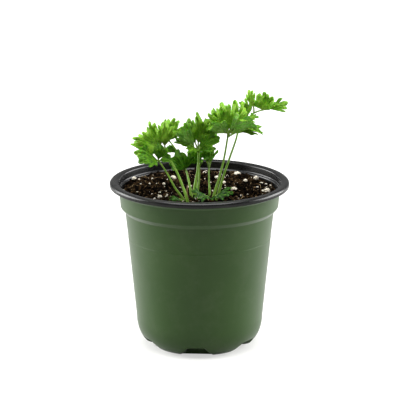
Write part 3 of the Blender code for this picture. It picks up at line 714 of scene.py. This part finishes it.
# Leaflets, by their petiole and the point of it where the stalk forks off: base, tip, the way the upper face
# looks, half angle of the fan in degrees, cut, and tone from 0 (deep green) to 1 (yellow green). The tone is
# partly the leaflet's own green and partly painted shade and light: crown and low leaflets darker, top ones
# lighter.
FORKS = {
    ("left_low", -1): {
        "left_low_side": ((-27, -21.8, 126.6), (-38, -31.5, 128), (-0.2, -0.75, 0.65), 54, "broad", 0.3),
        "left_low_top": ((-26, -20.8, 127.4), (-24.5, -20.5, 136.5), (0.2, -0.9, 0.4), 46, "broad", 0.25),
        "left_low_inner": ((-24.2, -21, 126.6), (-17, -23, 127.5), (0.1, -0.7, 0.7), 46, "broad", 0.28),
    },
    ("left_tall", -1): {
        "left_tall_side": ((-26.5, -14.5, 136), (-42.5, -15, 134), (-0.2, -0.8, 0.55), 54, "curly", 0.72),
        "left_tall_top": ((-26, -12.2, 137), (-30.6, -6.5, 145.8), (-0.2, -0.85, 0.45), 52, "curly", 0.72),
        "left_tall_inner": ((-22, -13.7, 136.3), (-21.5, -12.5, 148.5), (0.1, -0.9, 0.35), 46, "curly", 0.72),
    },
    ("left_back", 2): {
        "left_back_low": ((-9, -13.5, 118.5), (-14.5, -16, 130), (-0.1, -0.9, 0.4), 62, "broad", 0.24),
    },
    ("left_back", 3): {
        "left_back_side": ((-15.8, -3.2, 127.8), (-22, -2, 129.5), (-0.1, -0.6, 0.8), 48, "broad", 0.26),
    },
    ("left_back", -1): {
        "left_back_top": ((-19.8, -0.3, 135), (-15, 5, 146.8), (0.1, -0.85, 0.5), 50, "curly", 0.6),
        "left_back_inner": ((-18.8, -2.2, 135), (-15.5, -5.5, 143), (0.4, -0.8, 0.45), 46, "curly", 0.5),
    },
    ("middle_tall", -1): {
        "middle_left": ((-5.5, -12, 134), (-13.5, -13, 143), (-0.3, 0.8, 0.5), 42, "broad", 0.5),
        "middle_thin": ((-6, -7, 132.6), (-16, -8.5, 135.7), (-0.1, -0.6, 0.8), 28, "oblong", 0.34),
        "middle_left_top": ((-4, -5, 137), (-9, -1.5, 147), (-0.2, -0.9, 0.4), 40, "broad", 0.42),
        "middle_top": ((-0.8, -8, 138), (0, -7.5, 152), (0.1, -0.9, 0.3), 42, "curly", 0.56),
        "middle_right_top": ((1, -5.5, 134.5), (9, -1, 146), (0.3, -0.85, 0.4), 46, "broad", 0.36),
        "middle_right_low": ((1, -11.5, 131.8), (11, -14.5, 139), (0.3, -0.7, 0.6), 52, "broad", 0.4),
        "middle_front": ((-2.4, -12.6, 131.8), (-7.2, -18, 130.9), (-0.3, -0.75, 0.6), 52, "broad", 0.48),
    },
    ("middle_low", -1): {
        "middle_low_left": ((-0.8, -6.2, 121), (-6.5, -6.5, 128), (-0.3, -0.8, 0.5), 46, "broad", 0.46),
        "middle_low_back": ((-0.1, -4.7, 121.3), (-1.5, -0.5, 128), (0, -0.8, 0.5), 40, "broad", 0.4),
        "middle_low_right": ((1.2, -7.3, 120.8), (4.5, -12, 124.5), (0.4, -0.6, 0.7), 40, "broad", 0.46),
    },
    ("middle_right", -1): {
        "slim_left": ((5, -5.8, 122), (2.6, -3.4, 131.5), (-0.2, -0.9, 0.4), 34, "oblong", 0.42),
        "slim_right": ((7.2, -4.4, 122), (7.6, -0.6, 131), (0.3, -0.9, 0.4), 34, "oblong", 0.42),
    },
    ("right_front", -1): {
        "right_front_side": ((16.2, -11.6, 144), (5.5, -18, 147), (-0.1, 0.75, 0.65), 58, "broad", 0.58),
        "right_front_back": ((16.2, -6.8, 145), (6, -2.5, 152), (-0.3, -0.8, 0.5), 46, "curly", 0.6),
        "right_front_top": ((18, -10, 145.5), (14.8, -9, 160.5), (-0.1, -0.9, 0.4), 42, "fingered", 0.76),
        "right_front_inner": ((20, -6, 145), (24.5, 0, 159.5), (0.2, -0.9, 0.4), 40, "fingered", 0.78),
        "right_front_low": ((21.4, -11.3, 143.9), (36.2, -18, 148.9), (0.1, 0.75, 0.65), 54, "lobed", 0.64),
        "right_front_tip": ((31.2, -5.3, 142.2), (39.6, -6.5, 141.2), (0.1, -0.6, 0.8), 36, "lobed", 0.58),
    },
    ("right_tall", -1): {
        "right_tall_tip": ((45.2, 3, 153.8), (56.3, 4, 155.5), (0, -0.8, 0.6), 36, "oblong", 0.6),
    },
    ("right_tall", 6): {
        "right_tall_top": ((40.2, 3.4, 153.2), (42.8, 7.9, 162), (-0.1, -0.85, 0.5), 80, "curly", 0.7),
    },
    ("right_tall", 5): {
        "right_tall_small": ((33.8, 4, 157.7), (31.3, 5.5, 165), (-0.2, -0.9, 0.3), 32, "oblong", 0.95),
    },
    ("right_tall", 4): {
        "right_tall_low": ((30.8, -1.7, 147.9), (36.3, -4.5, 150.2), (0.1, -0.8, 0.6), 42, "lobed", 0.85),
        "right_tall_inner": ((30.3, 3.1, 149.6), (28.6, 8, 158), (-0.1, -0.9, 0.4), 44, "fingered", 0.72),
    },
    # The crown fans sit under the foliage; their tone below 0 is painted shade.
    ("crown_right", -1): {
        "crown_right_fan": ((10.6, -26, 104.8), (18.0, -34.2, 106.2), (0.1, -0.55, 0.8),
                            78, "pleated", -0.08),
    },
    ("crown_middle", -1): {
        "crown_middle_fan": ((4.6, -24.1, 103.9), (-2.6, -34, 104.2), (-0.1, -0.55, 0.8),
                             66, "pleated", -0.08),
    },
    ("crown_left", -1): {
        "crown_left_fan": ((-12.4, -31.9, 104), (-17.6, -36.5, 104.3), (0, -0.4, 0.9), 48, "pleated", -0.1),
    },
}
LEAFLETS = {name: (*fork, *fan) for fork, fans in FORKS.items() for name, fan in fans.items()}
print("petioles:", len(PETIOLES), "leaflets:", len(LEAFLETS))


# %% Stem finish
def make_stem_finish(name, base, green, light):
    """Waxy stem, paler at its base, with light ribs."""
    material, tree, shader = new_material(name, roughness=0.42, specular=0.3)
    along = stored(tree, "along")
    ribs = stored(tree, "rib")
    patch = use_group(tree, mottle_group, Scale=300.0, Contrast=1.5)
    skin = mix_colours(tree, patch["Mottle"], green, light)
    ribbed = mix_colours(tree, calculate(tree, "MULTIPLY", ribs, 0.45), skin, light)
    low = add_node(tree, "ShaderNodeMapRange", Value=along, From_Min=0.1, From_Max=0.4, To_Min=0.7,
                   To_Max=0.0).outputs[0]
    tree.links.new(mix_colours(tree, low, ribbed, base), shader.inputs["Base Color"])
    return material


stem_green = make_stem_finish("stem_green", rgb(92, 122, 34), rgb(78, 122, 24), rgb(128, 166, 64))
stem_dry = make_stem_finish("stem_dry", rgb(70, 48, 30), rgb(86, 60, 36), rgb(120, 90, 58))
print("stem finishes:", stem_green.name, stem_dry.name)

# %% Stems
TUBE_STEP = 0.9
TUBE_SIDES = 20
RIBS = 7
SOCKET_DEPTH = 8.0
STALK_RADIUS, STALK_FLARE = 0.5, 0.22
# A petiole swells by FOOT_SWELL where it leaves the mix, and is wider than thick just above.
SLIMMER, FOOT_SWELL, SWELL_REACH = 0.94, 0.18, 4.0
SHEATH_HEIGHT, SHEATH_REACH, SHEATH_USUAL = 4.0, 3.5, 0.15
SHEATHS = {"middle_tall": 0.35, "left_tall": 0.15, "right_front": 0.2}


def smooth_route(points, step):
    """Points along a smooth curve through the given ones."""
    points = [Vector(point) for point in points]
    padded = [2 * points[0] - points[1], *points, 2 * points[-1] - points[-2]]
    route = []
    for index in range(1, len(padded) - 2):
        before, start, end, after = padded[index - 1:index + 3]
        count = max(1, round((end - start).length / step))
        for part in range(count):
            t = part / count
            route.append(0.5 * (2 * start + (end - before) * t
                                + (2 * before - 5 * start + 4 * end - after) * t ** 2
                                + (3 * start - before - 3 * end + after) * t ** 3))
    route.append(points[-1])
    return route


def sweep(name, route, radii, widen, start):
    """A fluted tube along a route, domed at both ends, with a radius and a widening for each
    point; start is the value of along at its first point.
    """
    points, along, rib, rings = [], [], [], []
    side = Vector((1, 0, 0))
    for index, place in enumerate(route):
        ahead = (route[min(index + 1, len(route) - 1)] - route[max(index - 1, 0)]).normalized()
        side = (side - ahead * side.dot(ahead)).normalized()
        other = ahead.cross(side)
        rings.append(range(len(points), len(points) + TUBE_SIDES))
        for step in range(TUBE_SIDES):
            turn = 2 * math.pi * step / TUBE_SIDES
            ridge = 0.5 + 0.5 * math.cos(RIBS * turn)
            groove = max(0.0, math.cos(turn)) ** 6
            reach = radii[index] * (0.94 + 0.07 * ridge - 0.14 * groove)
            sideways = widen[index] * reach * math.cos(turn)
            points.append(place + side * sideways + other * (reach * math.sin(turn)))
            along.append(start + (1 - start) * index / (len(route) - 1))
            rib.append(ridge)
    faces = []
    for lower, upper in zip(rings, rings[1:]):
        for step in range(TUBE_SIDES):
            after = (step + 1) % TUBE_SIDES
            faces.append((lower[step], lower[after], upper[after], upper[step]))
    for ring, place, near in ((rings[0], route[0], route[1]), (rings[-1], route[-1], route[-2])):
        tip = place + (place - near).normalized() * radii[0 if place is route[0] else -1] * 0.4
        points.append(tip)
        along.append(start if place is route[0] else 1.0)
        rib.append(0.5)
        order = list(ring) if place is route[-1] else list(reversed(ring))
        for step in range(TUBE_SIDES):
            faces.append((order[step], order[(step + 1) % TUBE_SIDES], len(points) - 1))
    tube = mesh_from(name, points, faces)
    store_value(tube, "along", along)
    store_value(tube, "rib", rib)
    return tube


def stalk_route(points, fork, base, tip):
    """The route of one leaflet's stalk, from inside the petiole to the leaflet's base."""
    start, end = Vector(points[fork]), Vector(base)
    if fork == -1:
        start = start + (Vector(points[-2]) - start).normalized() * 0.9
    lean = (Vector(tip) - end).normalized()
    middle = start.lerp(end, 0.55) - lean * 0.12 * (end - start).length
    return smooth_route([start, middle, end + lean * 0.2], 0.6)


def make_petiole(name):
    """One petiole with its stalks."""
    (wide, narrow), points = PETIOLES[name]
    first, second = Vector(points[0]), Vector(points[1])
    lean = (first - second).normalized() * 0.25
    root = first + Vector((lean.x, lean.y, -1.0)) * SOCKET_DEPTH
    route = smooth_route([root, *points], TUBE_STEP)
    radii, widen = [], []
    for index, place in enumerate(route):
        share = max(0.0, index / (len(route) - 1) - 0.1)
        height = place.z - points[0][2]
        swell = SLIMMER + FOOT_SWELL * math.exp(-((height + 1) / SWELL_REACH) ** 2)
        sheath = math.exp(-((height - SHEATH_HEIGHT) / SHEATH_REACH) ** 2)
        radii.append((wide + (narrow - wide) * share) * swell)
        widen.append(1 + SHEATHS.get(name, SHEATH_USUAL) * sheath)
    petiole = sweep("stem_" + name, route, radii, widen, 0.0)
    stalks = []
    for leaflet, (owner, fork, base, tip, *_rest) in LEAFLETS.items():
        if owner == name:
            line = stalk_route(points, fork, base, tip)
            count = len(line) - 1
            thick = [STALK_RADIUS + STALK_FLARE * (1 - step / count) ** 3 for step in range(count + 1)]
            stalks.append(sweep(leaflet + "_stalk", line, thick, [1.0] * len(line), 0.5))
    for stalk in stalks:
        join = petiole.modifiers.new("join", "BOOLEAN")
        join.operation = "UNION"
        join.object = stalk
    evaluated_copy(petiole)
    for stalk in stalks:
        bpy.data.objects.remove(stalk)
    petiole.data.materials.clear()
    petiole.data.materials.append(stem_dry if name == "withered" else stem_green)
    petiole.data.shade_smooth()
    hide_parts("petiole_" + name)
    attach(petiole, ROOT)
    return petiole


for name in PETIOLES:
    stem = make_petiole(name)
    print(stem.name, len(stem.data.polygons), "faces")

# %% [markdown]
# A leaflet is a fan of fingers in three lobes. Its points are worked out from two numbers: one
# goes across the fan and one goes out from the base. Each finger is rounded at its end, raised
# along its middle, and lifted or dropped beyond its clefts by an amount of its own. That is the
# ruffle that curly parsley is grown for. Solidify gives the blade its thickness, with the paler
# finish on the underside.


# %% Leaf finishes
def make_leaf_finish(name, deep, middle, bright, vein, roughness):
    """Leaf skin whose green follows the blade's tone, with lighter veins, painted light on the finger ridges
    and painted shade at their edges.
    """
    material, tree, shader = new_material(name, roughness=roughness, specular=0.15)
    shader.inputs["Subsurface Weight"].default_value = 0.6
    shader.inputs["Subsurface Radius"].default_value = (0.6, 1.0, 0.15)
    shader.inputs["Subsurface Scale"].default_value = 0.0008
    read = {key: stored(tree, key) for key in ("tone", "vein", "ridge")}
    patch = use_group(tree, mottle_group, Scale=420.0, Contrast=2.4)
    darker = calculate(tree, "ADD", read["tone"], -0.26)
    shift = calculate(tree, "MULTIPLY_ADD", patch["Mottle"], 0.42, darker)
    # The ridge value paints light along each finger's middle and shade at its edges, where the folds would
    # lie in shadow.
    painted_ridge_light = calculate(tree, "MULTIPLY_ADD", read["ridge"], 0.18, shift)
    lower = add_node(tree, "ShaderNodeMapRange", Value=painted_ridge_light, From_Min=0.0, From_Max=0.5).outputs[0]
    upper = add_node(tree, "ShaderNodeMapRange", Value=painted_ridge_light, From_Min=0.5, From_Max=1.0).outputs[0]
    blade = mix_colours(tree, upper, mix_colours(tree, lower, deep, middle), bright)
    veined = mix_colours(tree, calculate(tree, "MULTIPLY", read["vein"], 0.35), blade, vein)
    tree.links.new(veined, shader.inputs["Base Color"])
    relief = calculate(tree, "MULTIPLY_ADD", read["vein"], -1.5, patch["Mottle"])
    add_bump(tree, shader, 0.7, 0.0005, relief)
    return material


leaf_top = make_leaf_finish("leaf_top", rgb(26, 62, 0), rgb(78, 124, 18), rgb(132, 176, 56),
                            rgb(122, 162, 58), 0.52)
# The underside green is paler, as a parsley leaf's underside is, and lightened further as painted light
# shining through the blade.
leaf_under = make_leaf_finish("leaf_under", rgb(74, 114, 38), rgb(110, 154, 62), rgb(158, 196, 104),
                              rgb(150, 186, 102), 0.55)
print("leaf finishes:", leaf_top.name, leaf_under.name)

# %% Cuts of a blade
# Each cut: fingers in each lobe, depth of the clefts between fingers and between lobes, how
# blunt the fingers are, height of their ridges and how far they are lifted apart.
CUTS = {
    "curly": ((3, 4, 3), 0.25, 0.46, 3.0, 0.10, 0.17),
    "fingered": ((2, 3, 2), 0.40, 0.52, 3.6, 0.07, 0.11),
    "lobed": ((2, 3, 2), 0.24, 0.48, 2.6, 0.06, 0.10),
    "oblong": ((1, 2, 1), 0.20, 0.50, 2.2, 0.05, 0.05),
    "broad": ((2, 3, 2), 0.15, 0.32, 2.2, 0.035, 0.08),
    "pleated": ((3, 3, 3), 0.34, 0.46, 1.5, 0.06, 0.05),
}
FINGER_COLUMNS = 12
BLADE_RINGS = 22
BLADE_THICK = 0.26
SIDE_SHORTER = 0.32
VEIN_WIDTH = 0.14
# A blade narrows to its stalk: its base lies this far down from the stalk's end to the fork.
BASE_REACH = 0.45
SEATED = {"right_tall_top": 0.95, "right_tall_tip": 0.8, "right_front_low": 0.7, "right_front_side": 0.7}


def soft_step(value):
    """Smooth rise from 0 to 1."""
    value = np.clip(value, 0, 1)
    return value * value * (3 - 2 * value)


def finger_columns(cut, rng):
    """For every column of a blade: u, t within its finger, finger number and cleft depth."""
    lobes, finger_cleft, lobe_cleft = CUTS[cut][:3]
    count = sum(lobes)
    widths = rng.uniform(0.85, 1.15, count) * (1 - 0.25 * np.abs(np.linspace(-1, 1, count)))
    edges = np.concatenate([[0], np.cumsum(widths)]) / widths.sum() * 2 - 1
    depths = finger_cleft * rng.uniform(0.75, 1.2, count + 1)
    for ends in np.cumsum(lobes)[:-1]:
        depths[ends] = lobe_cleft * rng.uniform(1.0, 1.15)
    steps = np.sin(np.linspace(-math.pi / 2, math.pi / 2, FINGER_COLUMNS + 1))
    u, t, number, depth = [], [], [], []
    for finger in range(count):
        kept = steps if finger == 0 else steps[1:]
        middle, half = (edges[finger] + edges[finger + 1]) / 2, (edges[finger + 1] - edges[finger]) / 2
        u.extend(middle + half * kept)
        t.extend(kept)
        number.extend([finger] * len(kept))
        depth.extend(depths[finger] + (depths[finger + 1] - depths[finger]) * (kept + 1) / 2)
    return np.array(u), np.array(t), np.array(number), np.array(depth)


def blade_points(cut, length, spread, seed):
    """Points of a blade in its own frame, with vein values and ridge values for painted light and shade: y
    runs from base to tip.
    """
    lobes, _finger_cleft, lobe_cleft, blunt, ridge_height, lift_height = CUTS[cut]
    rng = np.random.default_rng(seed)
    u, t, finger, depth = finger_columns(cut, rng)
    count = sum(lobes)
    v = (np.arange(1, BLADE_RINGS + 1) / BLADE_RINGS)[:, None]
    size = rng.uniform(0.9, 1.04, count)
    outline = (1 - depth) + (size[finger] - 1 + depth) * np.sqrt(np.maximum(0, 1 - np.abs(t) ** blunt))
    fan = 1 - SIDE_SHORTER * u * u
    rho = v * fan * outline * 1.04
    beyond = soft_step((rho / fan - 1 + depth) / np.maximum(depth, 0.05))
    beyond_lobe = soft_step((rho / fan - 1 + lobe_cleft) / lobe_cleft)
    lean = rng.uniform(-0.12, 0.12, count)
    angle = u * spread + lean[finger] * beyond + 0.05 * np.sin(3 * rho + seed)
    across, along = rho * np.sin(angle), rho * np.cos(angle)
    flip = np.where(np.arange(count) % 2 == 0, 1.0, -1.0) * rng.uniform(0.5, 1.1, count)
    lobe_of = np.repeat(np.arange(len(lobes)), lobes)
    lobe_lift = rng.uniform(-1.2, 1.2, len(lobes))
    height = 0.10 * 4 * along * (1 - along) + 0.22 * across ** 2
    margin = soft_step((rho - 0.25) / 0.45)
    height = height + ridge_height * (1 - t * t) * (0.12 * soft_step(rho / 0.3) + 0.7 * margin)
    wide_folds = np.sin(8 * across + seed) * np.cos(9 * along - seed)
    crumple = wide_folds + 0.6 * np.sin(17 * across - 7 * along + 2 * seed)
    height = height + 0.55 * ridge_height * crumple * soft_step(rho / 0.5)
    midvein = np.exp(-(t / VEIN_WIDTH) ** 2)
    height = height - 0.014 * midvein * soft_step(rho / 0.4)
    height = height + lift_height * flip[finger] * beyond
    height = height + 1.1 * lift_height * lobe_lift[lobe_of[finger]] * beyond_lobe
    height = height + 0.05 * rho ** 3 * np.sin(4.5 * math.pi * u + 1.7 * seed)
    height = height - rng.uniform(0.02, 0.12, count)[finger] * soft_step((rho - 0.72) / 0.3)
    height = height + 0.008 * np.sin(24 * rho + 2 * finger) * np.cos(7 * t) * (1 - t * t)
    vein = midvein * (1 - 0.5 * v)
    # Ridge value for the leaf finishes: high along a finger's middle (painted light), low at its edges
    # (painted shade), even near the base.
    ridge = 0.5 + (0.5 - t * t) * margin
    return np.stack([across, along, height], 2) * length, vein, ridge


def blade_frame(base, tip, face):
    """Turns a blade's own frame into the model's, in millimetres."""
    along = (Vector(tip) - Vector(base)).normalized()
    across = along.cross(Vector(face)).normalized()
    return np.array((across, along, across.cross(along)))


def make_leaflet(name, seed):
    """One ruffled blade."""
    owner, fork, base, tip, face, spread, cut, tone = LEAFLETS[name]
    shorter = (Vector(tip) - Vector(base)).length
    base = Vector(base).lerp(Vector(PETIOLES[owner][1][fork]), SEATED.get(name, BASE_REACH))
    length = (Vector(tip) - base).length
    spread = math.radians(spread) * min(1.0, (shorter / length) ** 0.7)
    grid, vein, ridge = blade_points(cut, length, spread, seed)
    turned = blade_frame(base, tip, face)
    points = np.vstack([np.zeros((1, 3)), grid.reshape(-1, 3)]) @ turned + np.array(base)
    wide = grid.shape[1]
    faces = [(0, 1 + column, 2 + column) for column in range(wide - 1)]
    for ring in range(BLADE_RINGS - 1):
        for inner in range(1 + ring * wide, (ring + 1) * wide):
            faces.append((inner, inner + wide, inner + wide + 1, inner + 1))
    leaflet = mesh_from("leaf_" + name, points, faces)
    normals = np.array([polygon.normal for polygon in leaflet.data.polygons])
    if (normals @ turned[2]).mean() < 0:
        leaflet.data.flip_normals()
    store_value(leaflet, "tone", np.full(len(points), tone))
    store_value(leaflet, "vein", np.concatenate([[1.0], vein.ravel()]))
    store_value(leaflet, "ridge", np.concatenate([[0.5], ridge.ravel()]))
    leaflet.data.materials.append(leaf_top)
    leaflet.data.materials.append(leaf_under)
    solid = leaflet.modifiers.new("thickness", "SOLIDIFY")
    solid.thickness = BLADE_THICK * MM
    solid.offset = 0.0
    solid.material_offset = 1
    evaluated_copy(leaflet)
    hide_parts("leaflet_" + name)
    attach(leaflet, ROOT)
    return leaflet


for seed, name in enumerate(LEAFLETS):
    leaflet = make_leaflet(name, seed)
print("leaflets:", len(LEAFLETS), "each of about", len(leaflet.data.polygons), "faces")

# %% [markdown]
# The pot stands on a plain pale sweep under broad soft lights: one large light overhead and one
# on each side, as for a catalogue picture. The sides are the brightest, so that they draw the
# pale edges down both flanks of the pot.


# %% Floor and lights
FLOOR_SIZE = 3.0
FLOOR_COLOUR = (0.42, 0.42, 0.41, 1.0)
# The floor's own glow, seen by the camera alone: distance from the pot and strength there.
GLOW_FROM, GLOW_TO = (0.2, 0.56), (1.2, 1.0)
LIGHTS_AIM = Vector((0, 0, 0.09))


def make_floor():
    """A wide pale floor that fades to white away from the pot."""
    bm = bmesh.new()
    bmesh.ops.create_grid(bm, x_segments=1, y_segments=1, size=FLOOR_SIZE)
    mesh = bpy.data.meshes.new("floor")
    bm.to_mesh(mesh)
    bm.free()
    floor = new_object("floor", mesh)
    material, tree, shader = new_material("floor_white", roughness=0.9, specular=0.1)
    seen = add_node(tree, "ShaderNodeLightPath").outputs["Is Camera Ray"]
    shader.inputs["Base Color"].default_value = FLOOR_COLOUR
    shader.inputs["Emission Color"].default_value = (1.0, 1.0, 0.985, 1.0)
    place = add_node(tree, "ShaderNodeTexCoord").outputs["Object"]
    away = add_node(tree, "ShaderNodeVectorMath", {"operation": "LENGTH"}, i0=place).outputs["Value"]
    glow = add_node(tree, "ShaderNodeMapRange", Value=away, From_Min=GLOW_FROM[0], From_Max=GLOW_TO[0],
                    To_Min=GLOW_FROM[1], To_Max=GLOW_TO[1]).outputs[0]
    tree.links.new(calculate(tree, "MULTIPLY", seen, glow), shader.inputs["Emission Strength"])
    floor.data.materials.append(material)


def add_light(name, place, size, power):
    """A square soft light that faces the middle of the plant."""
    light = bpy.data.lights.new(name, "AREA")
    light.size = size
    light.energy = power
    lamp = new_object(name, light)
    lamp.location = place
    lamp.rotation_euler = (LIGHTS_AIM - Vector(place)).to_track_quat("-Z", "Y").to_euler()


make_floor()
add_light("overhead", (0.0, -0.1, 1.4), 1.3, 27.0)
add_light("left_side", (-1.15, 0.33, 0.4), 1.1, 34.0)
add_light("right_side", (1.15, 0.33, 0.4), 1.1, 34.0)
world = bpy.data.worlds.new("studio")
world.use_nodes = True
surround = world.node_tree.nodes["Background"]
surround.inputs["Color"].default_value = (1.0, 1.0, 1.0, 1.0)
seen = add_node(world.node_tree, "ShaderNodeLightPath").outputs["Is Camera Ray"]
strength = add_node(world.node_tree, "ShaderNodeMapRange", Value=seen, To_Min=0.22, To_Max=1.0)
world.node_tree.links.new(strength.outputs[0], surround.inputs["Strength"])
bpy.context.scene.world = world
bpy.context.scene.view_settings.view_transform = "Standard"
print("lights:", [item.name for item in bpy.data.lights])
